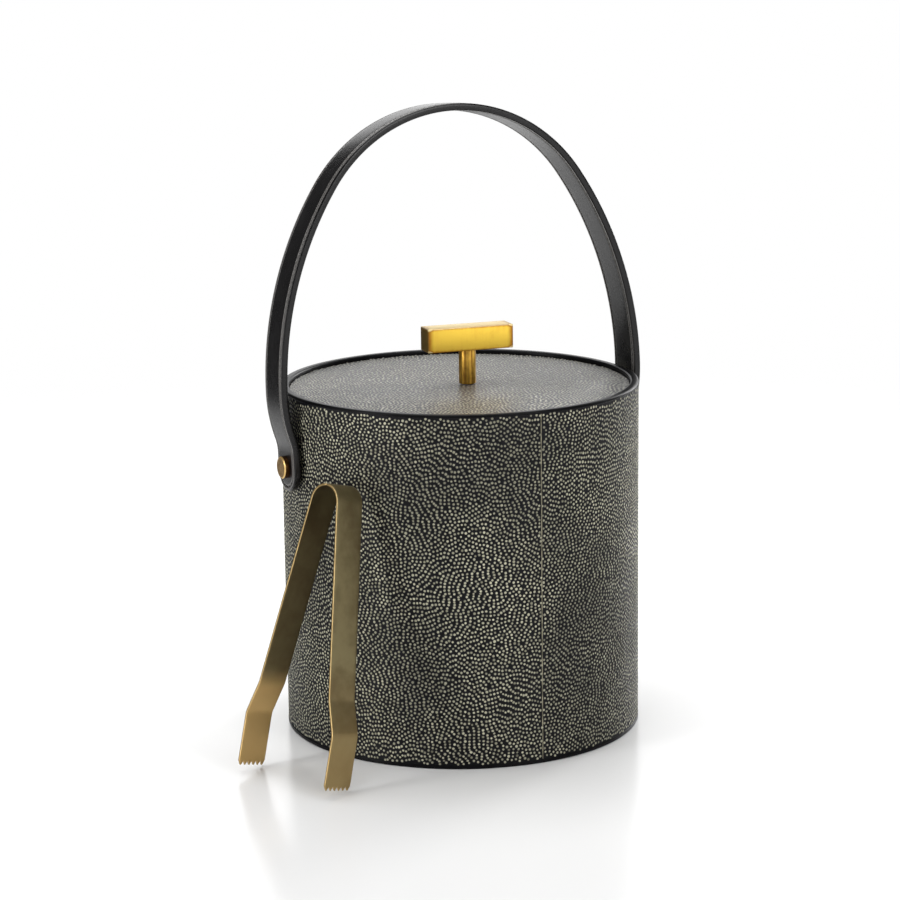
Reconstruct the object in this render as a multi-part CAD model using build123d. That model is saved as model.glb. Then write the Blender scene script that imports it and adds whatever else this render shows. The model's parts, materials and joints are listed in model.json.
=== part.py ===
from build123d import *
from math import asin, atan, cos, degrees, radians, sin, sqrt, tan
import os

# Ice bucket wrapped in shagreen, with a lift-off lid, a swinging leather strap handle and a pair of tongs.
# Millimetres. +Z is up, and the origin is the middle of the flat base, on the surface it stands on.
# The handle's pivots lie on X, the front seam of the wrap faces -Y, and the tongs lean on the front left.

# Overall sizes of the drum
body_diameter = 180.0
body_height = 175.0

# Drum wall, from the outside in
wrap_thickness = 1.0
tube_wall = 2.5
binding_thickness = 0.8
seam_gap = 0.5

# Edges of the drum
rim_leg = 1.6
rim_rounding = 1.2
base_leg = 2.0
base_turn_under = 5.7
pad_thickness = 1.2
pad_gap = 0.3
base_board_thickness = 6.0

# Steel liner and what holds it
liner_wall = 0.8
insulation_thickness = 7.5
insulation_floor = 6.0
seat_ring_height = 8.0
flange_clearance = 0.2

# Lid
lid_recess = 1.8
lid_side_clearance = 0.4
lid_board_thickness = 5.4
gasket_thickness = 0.8
gasket_width = 3.6
gasket_inset = 1.2
lid_rest_gap = 0.05
plug_depth = 13.0
plug_clearance = 1.4
pan_thickness = 0.7

# Knob, which its maker set a little off the middle of the lid
knob_offset = (3.6, -1.7)
knob_turn = -6.0
knob_length = 45.0
knob_section = 12.0
knob_bevel = 0.6
stem_diameter = 8.6
stem_height = 17.5
stem_fillet = 0.6
knob_screw_diameter = 5.0
knob_screw_head_diameter = 9.0
knob_screw_head_height = 3.0
knob_screw_reach = 7.5
knob_washer_diameter = 16.0
knob_washer_thickness = 1.0
screw_pocket_clearance = 1.0

# Strap handle
pivot_below_rim = 35.0
strap_width = 21.8
strap_skin = 1.2
strap_core_thickness = 1.5
strap_core_margin = 2.0
strap_end_below_pivot = 12.0
strap_lean = 4.1
strap_bulge = 4.7
strap_bulge_height = 36.0
strap_rise = 171.1
strap_crown_radius = 81.0
strap_foot_bend = 23.0
strap_straight = 6.5

# Pivots
pivot_gap = 0.1
pivot_standoff = 0.9
pivot_shank_diameter = 5.0
pivot_running_fit = 0.05
bush_wall = 1.0
pivot_head_diameter = 11.0
pivot_head_height = 2.7
pivot_head_bevel = 0.5
friction_washer_diameter = 10.0
pivot_nut_diameter = 12.0
pivot_nut_thickness = 2.5
pivot_nut_pocket_clearance = 0.3

# Tongs, one strip of brass bent to a bow
tongs_width = 17.3
tongs_thickness = 1.0
tongs_length = 142.0
bow_radius = 9.0
arm_angle = 9.3
jog_start = 100.0
jog_end = 115.8
jog_angle = 19.5
jog_bend_radius = 8.0
teeth_count = 6
teeth_depth = 2.3
tooth_flat = 0.5
tongs_heading = 22.35
tongs_lean = 14.5
tongs_side_shift = 11.0
tongs_wall_clearance = 0.6
floor_clearance = 0.05
apex_samples = 10

# How far a cutting shape runs past what it cuts, and the greatest share of the rim one rounding may take
overcut = 1.0
rounding_share = 0.45

# Worked out from the sizes above
body_radius = body_diameter / 2
pivot_height = body_height - pivot_below_rim
tube_outer = body_radius - wrap_thickness
tube_inner = tube_outer - tube_wall
rim_inner = tube_inner - binding_thickness
board_bottom = pad_thickness
board_top = board_bottom + base_board_thickness
liner_outer = tube_inner - insulation_thickness
liner_inner = liner_outer - liner_wall
liner_bottom = board_top + insulation_floor
lid_top = body_height - lid_recess
lid_board_top = lid_top - wrap_thickness
lid_board_bottom = lid_board_top - lid_board_thickness
flange_top = lid_board_bottom - gasket_thickness - lid_rest_gap
flange_bottom = flange_top - liner_wall
seat_ring_bottom = flange_bottom - seat_ring_height
lid_radius = rim_inner - lid_side_clearance
lid_board_radius = lid_radius - binding_thickness
pan_radius = liner_inner - plug_clearance
pan_bottom = lid_board_bottom - plug_depth
knob_bottom = lid_top + stem_height
strap_thickness = 2 * strap_skin + strap_core_thickness
strap_inner_face = body_radius + pivot_standoff + pivot_gap
strap_outer_face = strap_inner_face + strap_thickness
strap_middle = strap_inner_face + strap_thickness / 2
pivot_shank_radius = pivot_shank_diameter / 2
bush_bore = pivot_shank_radius + pivot_running_fit
bush_radius = bush_bore + bush_wall
bow_middle_radius = bow_radius - tongs_thickness / 2
tooth_pitch = tongs_width / teeth_count
notch_half_mouth = (tooth_pitch - tooth_flat) / 2


def disc(radius, bottom, top):
    """A round slab standing on the axis of the drum."""
    return Pos(0, 0, bottom) * Cylinder(radius, top - bottom, align=(Align.CENTER, Align.CENTER, Align.MIN))


def ring(outer, inner, bottom, top):
    """A round slab with a round hole."""
    return disc(outer, bottom, top) - disc(inner, bottom - overcut, top + overcut)


def rod_along_x(radius, start, end, height=pivot_height):
    """A round bar along X on the pivot axis, from one distance out to another."""
    return Pos((start + end) / 2, 0, height) * Rot(0, 90, 0) * Cylinder(radius, end - start)


def turned(points):
    """A solid turned about the drum's axis from corners given as (radius, height)."""
    outline = Plane.XZ * make_face(Polyline(*points, close=True))
    return revolve(outline, Axis.Z, 360)


def to_left(solid):
    """The same solid on the other side of the drum."""
    return mirror(solid, Plane.YZ)


# --- Drum ---

def pivot_hole():
    """The hole for one pivot screw, right through the wall."""
    return rod_along_x(pivot_shank_radius, tube_inner - insulation_thickness, body_radius + overcut)


def both_pivot_holes():
    return pivot_hole() + to_left(pivot_hole())


def make_shell_tube():
    tube = ring(tube_outer, tube_inner, binding_thickness, body_height - binding_thickness)
    return tube - both_pivot_holes()


def make_side_wrap(side):
    """One of two panels of shagreen, butted at a seam in front and a seam behind."""
    skin = ring(body_radius, tube_outer, base_leg, body_height - rim_leg)
    half = Pos(side * seam_gap / 2, 0, body_height / 2) * Box(
        body_diameter, 2 * body_diameter, 2 * body_height,
        align=(Align.MIN if side > 0 else Align.MAX, Align.CENTER, Align.CENTER))
    return (skin & half) - both_pivot_holes()


def make_rim_binding():
    """A leather strip that folds over the top of the wall, down to the liner's flange inside."""
    top_of_wall = body_height - binding_thickness
    leg_bottom = body_height - rim_leg
    strip = turned([
        (rim_inner, flange_top),
        (tube_inner, flange_top),
        (tube_inner, top_of_wall),
        (tube_outer, top_of_wall),
        (tube_outer, leg_bottom),
        (body_radius, leg_bottom),
        (body_radius, body_height),
        (rim_inner, body_height),
    ])
    top_edges = strip.edges().filter_by(GeomType.CIRCLE).group_by(Axis.Z)[-1]
    return fillet(top_edges, min(rim_rounding, rounding_share * (body_radius - rim_inner)))


def make_base_binding():
    """A leather strip round the foot, turned under the drum."""
    return turned([
        (body_radius - base_turn_under, 0),
        (body_radius, 0),
        (body_radius, base_leg),
        (tube_outer, base_leg),
        (tube_outer, binding_thickness),
        (body_radius - base_turn_under, binding_thickness),
    ])


def make_base_board():
    return disc(tube_inner, board_bottom, board_top)


def make_base_pad():
    return disc(body_radius - base_turn_under - pad_gap, 0, pad_thickness)


def make_liner():
    """A drawn steel cup with a flat flange that hangs on the seat ring."""
    flange_radius = tube_inner - flange_clearance
    return turned([
        (0, liner_bottom),
        (liner_outer, liner_bottom),
        (liner_outer, flange_bottom),
        (flange_radius, flange_bottom),
        (flange_radius, flange_top),
        (liner_inner, flange_top),
        (liner_inner, liner_bottom + liner_wall),
        (0, liner_bottom + liner_wall),
    ])


def make_liner_seat_ring():
    return ring(tube_inner, liner_outer, seat_ring_bottom, flange_bottom)


def nut_pocket():
    """Room in the foam for one pivot nut and the end of its screw."""
    radius = pivot_nut_diameter / 2 + pivot_nut_pocket_clearance
    return rod_along_x(radius, liner_outer - overcut, tube_inner + overcut)


def make_insulation_sleeve():
    sleeve = ring(tube_inner, liner_outer, board_top, seat_ring_bottom)
    return sleeve - nut_pocket() - to_left(nut_pocket())


def make_insulation_disc():
    return disc(liner_outer, board_top, liner_bottom)


# --- Pivots ---

def make_pivot_screw():
    """A brass screw whose flat head holds the strap, and whose shank the strap turns on."""
    shank = rod_along_x(pivot_shank_radius, tube_inner - pivot_nut_thickness, strap_outer_face + pivot_gap)
    head_start = strap_outer_face + pivot_gap
    head = rod_along_x(pivot_head_diameter / 2, head_start, head_start + pivot_head_height)
    face_edge = head.edges().filter_by(GeomType.CIRCLE).group_by(Axis.X)[-1]
    return shank + chamfer(face_edge, pivot_head_bevel)


def make_friction_washer():
    """A washer that keeps the strap off the wrap, hollowed to sit on the round wall."""
    outside = rod_along_x(friction_washer_diameter / 2, tube_inner, strap_inner_face - pivot_gap)
    bore = rod_along_x(pivot_shank_radius, tube_inner - overcut, strap_outer_face)
    return outside - bore - disc(body_radius, 0, body_height)


def make_pivot_nut():
    """A round nut behind the wall, cut to the wall's curve where it bears."""
    nut_face = tube_inner - pivot_nut_thickness
    body = rod_along_x(pivot_nut_diameter / 2, nut_face, tube_inner)
    bore = rod_along_x(pivot_shank_radius, nut_face - overcut, tube_inner + overcut)
    return (body - bore) & disc(tube_inner, 0, body_height)


# --- Handle ---

def strap_curve(offset):
    """The right half of the strap's line, moved outward by an offset: four arcs on a straight foot."""
    bulge_x = strap_middle + strap_bulge
    bulge_z = pivot_height + strap_bulge_height
    straight_top = pivot_height + strap_straight
    crown_z = pivot_height + strap_rise - strap_crown_radius
    # The lower side arc and the foot's reverse bend share the height from the straight foot to the bulge
    bend_height = bulge_z - straight_top
    bend_radii = (strap_bulge ** 2 + bend_height ** 2) / (2 * strap_bulge)
    bend_angle = degrees(asin(bend_height / bend_radii))
    lower_radius = bend_radii - strap_foot_bend
    # The upper side arc leaves the bulge upright and meets the crown's arc
    side_angle = 2 * degrees(atan((bulge_x - strap_crown_radius) / (crown_z - bulge_z)))
    upper_radius = strap_crown_radius + (crown_z - bulge_z) / sin(radians(side_angle))
    foot_x = strap_middle + offset
    foot_z = pivot_height - strap_end_below_pivot - overcut
    return [
        Line((foot_x, foot_z), (foot_x, straight_top)),
        CenterArc((strap_middle + strap_foot_bend, straight_top), strap_foot_bend - offset, 180, -bend_angle),
        CenterArc((bulge_x - lower_radius, bulge_z), lower_radius + offset, -bend_angle, bend_angle),
        CenterArc((bulge_x - upper_radius, bulge_z), upper_radius + offset, 0, side_angle),
        CenterArc((0, crown_z), strap_crown_radius + offset, side_angle, 90 - side_angle),
    ]


def strap_layer(inner, outer, margin):
    """One layer of the strap, between two offsets from its middle line, narrower by a margin."""
    inside = strap_curve(inner)
    outside = strap_curve(outer)
    ends = [Line(inside[0] @ 0, outside[0] @ 0), Line(inside[-1] @ 1, outside[-1] @ 1)]
    half_width = strap_width / 2 - margin
    half = extrude(Plane.XZ * make_face(inside + outside + ends), half_width, both=True)
    half = half & strap_end_cutter(half_width, margin)
    half = half - rod_along_x(bush_radius, body_radius, strap_outer_face + overcut)
    return half + to_left(half)


def strap_end_cutter(half_width, margin):
    """A tall block with a round foot, which gives the strap its rounded end."""
    end_centre = pivot_height - strap_end_below_pivot + strap_width / 2
    top = pivot_height + strap_rise + strap_thickness
    block = Pos(0, 0, end_centre) * Box(
        body_diameter, 2 * half_width, top - end_centre, align=(Align.MIN, Align.CENTER, Align.MIN))
    foot = rod_along_x(strap_width / 2 - margin, 0, body_diameter, end_centre)
    return block + foot


def leaned(solid):
    """Turns a piece of the handle about the pivots to the lean it rests at, towards the back."""
    return solid.rotate(Axis((0, 0, pivot_height), (1, 0, 0)), -strap_lean)


def make_strap_outer():
    half_core = strap_core_thickness / 2
    return leaned(strap_layer(half_core, half_core + strap_skin, 0))


def make_strap_core():
    half_core = strap_core_thickness / 2
    return leaned(strap_layer(-half_core, half_core, strap_core_margin))


def make_strap_inner():
    half_core = strap_core_thickness / 2
    return leaned(strap_layer(-half_core - strap_skin, -half_core, 0))


def make_pivot_bush():
    """A brass eyelet set in the strap, which runs on the pivot screw."""
    outside = rod_along_x(bush_radius, strap_inner_face, strap_outer_face)
    return outside - rod_along_x(bush_bore, strap_inner_face - overcut, strap_outer_face + overcut)


# --- Lid ---

def at_knob(solid):
    """Moves a piece made on the axis to where the knob stands."""
    return Pos(knob_offset[0], knob_offset[1], 0) * solid


def knob_screw_hole():
    return at_knob(disc(knob_screw_diameter / 2, pan_bottom + pan_thickness, knob_bottom + knob_screw_reach))


def make_lid_board():
    return disc(lid_board_radius, lid_board_bottom, lid_board_top) - knob_screw_hole()


def make_lid_top_wrap():
    return disc(lid_radius, lid_board_top, lid_top) - knob_screw_hole()


def make_lid_edge_binding():
    return ring(lid_radius, lid_board_radius, lid_board_bottom, lid_board_top)


def make_lid_gasket():
    outer = lid_board_radius - gasket_inset
    return ring(outer, outer - gasket_width, lid_board_bottom - gasket_thickness, lid_board_bottom)


def make_lid_pan():
    """A shallow steel pan under the lid, which hangs inside the liner."""
    pan = disc(pan_radius, pan_bottom, lid_board_bottom)
    return pan - disc(pan_radius - pan_thickness, pan_bottom + pan_thickness, lid_board_bottom + overcut)


def make_lid_plug():
    """The foam that fills the pan, with a pocket for the knob's screw and washer."""
    plug = disc(pan_radius - pan_thickness, pan_bottom + pan_thickness, lid_board_bottom)
    pocket_depth = knob_washer_thickness + knob_screw_head_height + screw_pocket_clearance
    pocket_radius = knob_washer_diameter / 2 + screw_pocket_clearance
    return plug - at_knob(disc(pocket_radius, lid_board_bottom - pocket_depth, lid_board_bottom + overcut))


def make_knob_washer():
    washer = disc(knob_washer_diameter / 2, lid_board_bottom - knob_washer_thickness, lid_board_bottom)
    return at_knob(washer) - knob_screw_hole()


def make_knob_screw():
    head_top = lid_board_bottom - knob_washer_thickness
    head = disc(knob_screw_head_diameter / 2, head_top - knob_screw_head_height, head_top)
    shank = disc(knob_screw_diameter / 2, head_top, knob_bottom + knob_screw_reach)
    return at_knob(head + shank)


def make_knob_stem():
    stem = disc(stem_diameter / 2, lid_top, knob_bottom)
    stem = fillet(stem.edges().filter_by(GeomType.CIRCLE).group_by(Axis.Z)[0], stem_fillet)
    return at_knob(stem) - knob_screw_hole()


def make_knob_bar():
    bar = Box(knob_length, knob_section, knob_section, align=(Align.CENTER, Align.CENTER, Align.MIN))
    bar = chamfer(bar.edges(), knob_bevel)
    return at_knob(Pos(0, 0, knob_bottom) * Rot(0, 0, knob_turn) * bar) - knob_screw_hole()


# --- Tongs: drawn flat, with X across the bow and Y up to its apex, then stood up and leaned on the wall ---

def tongs_apex_distance():
    """How far out the apex stands, so that the bow's inner edge just clears the round wall."""
    lean = radians(tongs_lean)
    reach = body_radius + tongs_wall_clearance
    farthest = 0
    for step in range(-apex_samples, apex_samples + 1):
        sideways = bow_radius * step / apex_samples
        drop = bow_radius - sqrt(bow_radius ** 2 - sideways ** 2)
        wall = sqrt(reach ** 2 - (tongs_side_shift + sideways) ** 2)
        farthest = max(farthest, wall + tongs_width / 2 * cos(lean) - drop * sin(lean))
    return farthest


def tongs_plane():
    """The plane the tongs are drawn in, with its origin at the apex of the bow."""
    lean = radians(tongs_lean)
    heading = radians(tongs_heading)
    towards_wall = Vector(cos(heading), sin(heading), 0)
    across = Vector(sin(heading), -cos(heading), 0)
    lowest_tooth = tongs_width / 2 - notch_half_mouth
    apex_height = floor_clearance + tongs_length * cos(lean) + lowest_tooth * sin(lean)
    apex = towards_wall * -tongs_apex_distance() + across * tongs_side_shift + Vector(0, 0, apex_height)
    through_width = towards_wall * cos(lean) - Vector(0, 0, sin(lean))
    return Plane(origin=apex, x_dir=across, z_dir=through_width * -1)


def arm_centreline(side):
    """One arm's middle line, from the end of the bow down past the jog to the tip."""
    spread = radians(arm_angle)
    start_x = bow_middle_radius * cos(spread)
    start_y = bow_middle_radius * sin(spread) - bow_radius
    jog_x = start_x + (jog_start + start_y) * tan(spread)
    tip_x = jog_x + (jog_end - jog_start) * tan(radians(jog_angle))
    return FilletPolyline(
        (side * start_x, start_y),
        (side * jog_x, -jog_start),
        (side * tip_x, -jog_end),
        (side * tip_x, -tongs_length),
        radius=jog_bend_radius,
    )


def tooth_notches():
    """The V-shaped cuts that leave a row of teeth along a tip."""
    slope = overcut * notch_half_mouth / teeth_depth
    mouth = notch_half_mouth + slope
    outline = Polyline((-overcut, -mouth), (teeth_depth, 0), (-overcut, mouth), close=True)
    notch = extrude(Plane.YZ * make_face(outline), body_radius, both=True)
    row = Part()
    for position in range(teeth_count + 1):
        row += Pos(0, -tongs_length, position * tooth_pitch - tongs_width / 2) * notch
    return row


def make_tongs_arm(side):
    strip = extrude(trace(arm_centreline(side), tongs_thickness), tongs_width / 2, both=True)
    return tongs_plane() * (strip - tooth_notches())


def make_tongs_bow():
    """The round bow that joins the arms, cut off square to each of them."""
    reach = 2 * bow_radius
    end_x = reach * cos(radians(arm_angle))
    end_y = reach * sin(radians(arm_angle))
    band = Circle(bow_radius) - Circle(bow_radius - tongs_thickness)
    sector = make_face(Polyline((0, 0), (end_x, end_y), (0, 2 * reach), (-end_x, end_y), close=True))
    bow = extrude(Pos(0, -bow_radius) * (band & sector), tongs_width / 2, both=True)
    return tongs_plane() * bow


nodes = {
    "shell_tube": make_shell_tube(),
    "side_wrap_right": make_side_wrap(1),
    "side_wrap_left": make_side_wrap(-1),
    "rim_binding": make_rim_binding(),
    "base_binding": make_base_binding(),
    "base_board": make_base_board(),
    "base_pad": make_base_pad(),
    "liner": make_liner(),
    "liner_seat_ring": make_liner_seat_ring(),
    "insulation_sleeve": make_insulation_sleeve(),
    "insulation_disc": make_insulation_disc(),
    "pivot_screw_right": make_pivot_screw(),
    "pivot_screw_left": to_left(make_pivot_screw()),
    "pivot_nut_right": make_pivot_nut(),
    "pivot_nut_left": to_left(make_pivot_nut()),
    "friction_washer_right": make_friction_washer(),
    "friction_washer_left": to_left(make_friction_washer()),
    "strap_outer": make_strap_outer(),
    "strap_core": make_strap_core(),
    "strap_inner": make_strap_inner(),
    "pivot_bush_right": make_pivot_bush(),
    "pivot_bush_left": to_left(make_pivot_bush()),
    "lid_board": make_lid_board(),
    "lid_top_wrap": make_lid_top_wrap(),
    "lid_edge_binding": make_lid_edge_binding(),
    "lid_gasket": make_lid_gasket(),
    "lid_pan": make_lid_pan(),
    "lid_plug": make_lid_plug(),
    "knob_stem": make_knob_stem(),
    "knob_bar": make_knob_bar(),
    "knob_washer": make_knob_washer(),
    "knob_screw": make_knob_screw(),
    "tongs_bow": make_tongs_bow(),
    "tongs_front_arm": make_tongs_arm(1),
    "tongs_back_arm": make_tongs_arm(-1),
}

os.makedirs("parts", exist_ok=True)
for name, solid in nodes.items():
    export_step(solid, f"parts/{name}.step")
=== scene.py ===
import bpy
import json
import math
import numpy as np
from mathutils import Matrix, Vector

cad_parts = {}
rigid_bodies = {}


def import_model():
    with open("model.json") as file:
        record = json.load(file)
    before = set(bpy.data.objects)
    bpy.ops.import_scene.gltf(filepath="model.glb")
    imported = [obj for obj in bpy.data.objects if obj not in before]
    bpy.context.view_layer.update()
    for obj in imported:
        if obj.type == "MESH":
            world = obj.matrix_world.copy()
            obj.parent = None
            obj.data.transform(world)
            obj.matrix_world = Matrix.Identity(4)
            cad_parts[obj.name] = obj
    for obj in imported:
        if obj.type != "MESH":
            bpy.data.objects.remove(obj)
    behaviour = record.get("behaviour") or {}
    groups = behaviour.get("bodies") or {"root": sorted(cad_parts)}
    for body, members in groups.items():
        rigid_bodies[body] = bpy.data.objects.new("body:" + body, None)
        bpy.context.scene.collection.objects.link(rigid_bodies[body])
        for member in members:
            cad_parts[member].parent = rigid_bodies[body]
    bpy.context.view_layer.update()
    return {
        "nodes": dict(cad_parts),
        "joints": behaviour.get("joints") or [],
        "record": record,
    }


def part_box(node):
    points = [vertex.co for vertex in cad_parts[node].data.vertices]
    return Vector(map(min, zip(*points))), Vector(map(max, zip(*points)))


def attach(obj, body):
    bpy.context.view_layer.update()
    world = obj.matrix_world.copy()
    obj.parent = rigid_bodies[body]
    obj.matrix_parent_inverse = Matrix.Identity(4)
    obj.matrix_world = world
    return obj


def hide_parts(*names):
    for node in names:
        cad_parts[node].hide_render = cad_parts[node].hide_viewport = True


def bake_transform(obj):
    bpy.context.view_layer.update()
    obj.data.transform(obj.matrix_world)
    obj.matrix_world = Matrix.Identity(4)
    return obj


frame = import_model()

mm = 0.001
print("frame loaded:", len(frame["nodes"]), "nodes")


# Sizes that several pieces share, read from the frame
wrapLow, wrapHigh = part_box("side_wrap_right")
drumRadius = wrapHigh.x
lidLow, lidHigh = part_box("lid_top_wrap")
bushLow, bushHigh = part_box("pivot_bush_right")
pivotHeight = (bushLow.z + bushHigh.z) / 2
strapMiddle = (bushLow.x + bushHigh.x) / 2
strapThickness = bushHigh.x - bushLow.x


# Small helpers for working by hand with the operators

def deselectAll():
    for other in bpy.context.view_layer.objects:
        other.select_set(False)


def pick(piece):
    deselectAll()
    piece.select_set(True)
    bpy.context.view_layer.objects.active = piece


def added(name):
    piece = bpy.context.active_object
    piece.name = name
    piece.data.name = name
    return piece


def settle(piece):
    # Puts the object's place, turn and scale into its mesh
    pick(piece)
    bpy.ops.object.transform_apply(location=True, rotation=True, scale=True)


def applyModifiers(piece):
    pick(piece)
    for modifier in list(piece.modifiers):
        bpy.ops.object.modifier_apply(modifier=modifier.name)


def bevelPiece(piece, width, segments, angle=30):
    modifier = piece.modifiers.new("Bevel", "BEVEL")
    modifier.width = width
    modifier.segments = segments
    modifier.limit_method = "ANGLE"
    modifier.angle_limit = math.radians(angle)
    applyModifiers(piece)


def smooth(piece, angle=35):
    pick(piece)
    bpy.ops.object.shade_smooth_by_angle(angle=math.radians(angle))


def facesOut(piece):
    pick(piece)
    bpy.ops.object.mode_set(mode="EDIT")
    bpy.ops.mesh.select_all(action="SELECT")
    bpy.ops.mesh.remove_doubles(threshold=0.000002)
    bpy.ops.mesh.normals_make_consistent(inside=False)
    bpy.ops.object.mode_set(mode="OBJECT")


def coordinates(piece):
    values = np.empty(len(piece.data.vertices) * 3)
    piece.data.vertices.foreach_get("co", values)
    return values.reshape(-1, 3)


def setCoordinates(piece, values):
    piece.data.vertices.foreach_set("co", values.ravel())
    piece.data.update()


def paintValue(piece, name, values):
    attribute = piece.data.attributes.new(name, "FLOAT", "POINT")
    attribute.data.foreach_set("value", np.asarray(values, dtype=np.float32))


def fromPoints(name, points, faces):
    mesh = bpy.data.meshes.new(name)
    mesh.from_pydata(points, [], faces)
    piece = bpy.data.objects.new(name, mesh)
    bpy.context.collection.objects.link(piece)
    return piece


def dress(piece, material):
    piece.data.materials.clear()
    piece.data.materials.append(material)


def finished(piece, body, material, slotName, *nodes):
    dress(piece, material)
    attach(piece, body)
    if nodes:
        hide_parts(*nodes)
    return piece


# Shader writing: a signal is one socket, and arithmetic on signals adds Math nodes

class Signal:
    def __init__(self, bench, socket):
        self.bench = bench
        self.socket = socket

    def maths(self, operation, other=None):
        inputs = {0: self}
        if other is not None:
            inputs[1] = other
        return self.bench.node("ShaderNodeMath", {"operation": operation}, inputs)

    def reflected(self, operation, other):
        return self.bench.node("ShaderNodeMath", {"operation": operation}, {0: other, 1: self})

    def __add__(self, other):
        return self.maths("ADD", other)

    def __sub__(self, other):
        return self.maths("SUBTRACT", other)

    def __mul__(self, other):
        return self.maths("MULTIPLY", other)

    def __truediv__(self, other):
        return self.maths("DIVIDE", other)

    def __radd__(self, other):
        return self.reflected("ADD", other)

    def __rsub__(self, other):
        return self.reflected("SUBTRACT", other)

    def __rmul__(self, other):
        return self.reflected("MULTIPLY", other)

    def __rtruediv__(self, other):
        return self.reflected("DIVIDE", other)

    def between(self, low, high):
        # 0 below low, 1 above high, and a smooth step from one to the other
        settings = {"interpolation_type": "SMOOTHSTEP"}
        inputs = {"Value": self, "From Min": low, "From Max": high}
        return self.bench.node("ShaderNodeMapRange", settings, inputs)

    def band(self, start, full, fall, end):
        # 1 from full to fall, and 0 outside start and end
        return self.between(start, full) * (1 - self.between(fall, end))


class Bench:
    # One material and its nodes

    def __init__(self, name):
        self.material = bpy.data.materials.new(name)
        self.material.use_nodes = True
        self.tree = self.material.node_tree
        self.shader = self.tree.nodes["Principled BSDF"]

    def node(self, kind, settings=None, inputs=None, output=0):
        made = self.tree.nodes.new(kind)
        for key, value in (settings or {}).items():
            setattr(made, key, value)
        for key, value in (inputs or {}).items():
            self.feed(made.inputs[key], value)
        return Signal(self, made.outputs[output])

    def feed(self, socket, value):
        if isinstance(value, Signal):
            self.tree.links.new(value.socket, socket)
        elif isinstance(value, tuple) and len(value) == 3 and socket.type == "RGBA":
            socket.default_value = (*value, 1)
        else:
            socket.default_value = value

    def stretched(self, place, scale, turn=0):
        return self.node("ShaderNodeMapping", inputs={
            "Vector": place, "Scale": scale, "Rotation": (0, 0, turn)})

    def place(self, scale=(1, 1, 1)):
        return self.stretched(self.node("ShaderNodeTexCoord", output="Object"), scale)

    def around(self, centre):
        where = self.node("ShaderNodeTexCoord", output="Object")
        return self.node("ShaderNodeVectorMath", {"operation": "SUBTRACT"}, {0: where, 1: tuple(centre)})

    def parts(self, place):
        split = self.node("ShaderNodeSeparateXYZ", inputs={"Vector": place}).socket.node
        return [Signal(self, socket) for socket in split.outputs]

    def noise(self, place, scale, detail=3.0, roughness=0.55):
        return self.node("ShaderNodeTexNoise", inputs={
            "Vector": place, "Scale": scale, "Detail": detail, "Roughness": roughness})

    def cells(self, place, scale, feature="F1"):
        inputs = {"Vector": place, "Scale": scale}
        return self.node("ShaderNodeTexVoronoi", {"feature": feature}, inputs, "Distance")

    def value(self, name):
        return self.node("ShaderNodeAttribute", {"attribute_name": name}, output="Fac")

    def mix(self, share, first, second, blend="MIX"):
        # A mix node lists its number, vector and colour sockets under the same names, so colour goes by place
        settings = {"data_type": "RGBA", "blend_type": blend}
        return self.node("ShaderNodeMix", settings, {0: share, 6: first, 7: second}, 2)

    def bump(self, height, distance, strength=1.0):
        return self.node("ShaderNodeBump", inputs={
            "Height": height, "Distance": distance, "Strength": strength})

    def finish(self, **inputs):
        for key, value in inputs.items():
            self.feed(self.shader.inputs[key.replace("_", " ")], value)
        return self.material


def shade(red, green, blue):
    # A colour given as it looks on a screen, from 0 to 255, as the linear colour that shaders use
    def linear(value):
        value = value / 255
        return value / 12.92 if value <= 0.04045 else ((value + 0.055) / 1.055) ** 2.4
    return (linear(red), linear(green), linear(blue))


# Camera and studio

cameraView = {
    "place": (-0.58261, -1.22697, 0.43292),
    "heading": 25.18,    # degrees
    "pitch": 12.218,
    "roll": -0.703,
    "lens": 109.97,
}


def makeCamera():
    bpy.ops.object.camera_add()
    camera = added("camera")
    camera.data.lens = cameraView["lens"]
    camera.data.sensor_width = 36
    turn = (Matrix.Rotation(math.radians(-cameraView["heading"]), 4, "Z")
            @ Matrix.Rotation(math.radians(90 - cameraView["pitch"]), 4, "X")
            @ Matrix.Rotation(math.radians(cameraView["roll"]), 4, "Z"))
    camera.matrix_world = Matrix.Translation(cameraView["place"]) @ turn
    camera.data.clip_start = 0.05
    camera.data.clip_end = 20
    bpy.context.scene.camera = camera


studio = {
    "floorSize": 12.0,
    "floorColour": (0.80, 0.80, 0.80),
    "floorFade": (0.45, 0.95),    # metres from the object, solid to clear
    "surround": 0.08,
    "lowerRoom": 1.1,
    "horizonBlur": 0.12,
    "backDim": 0.40,
    "lamps": [
        # name, place, width, height, power
        ("backWall", (1.9, 2.6, 0.8), 3.8, 1.6, 30),
        ("frontSoftbox", (0.75, -2.2, 1.15), 0.9, 1.2, 18),
        ("leftSoftbox", (-2.1, -0.15, 0.8), 0.5, 1.5, 20),
        ("rightSoftbox", (1.9, 0.9, 0.9), 0.6, 1.6, 22),
        ("overhead", (0.0, 0.2, 2.3), 2.0, 2.0, 60),
    ],
}


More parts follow.
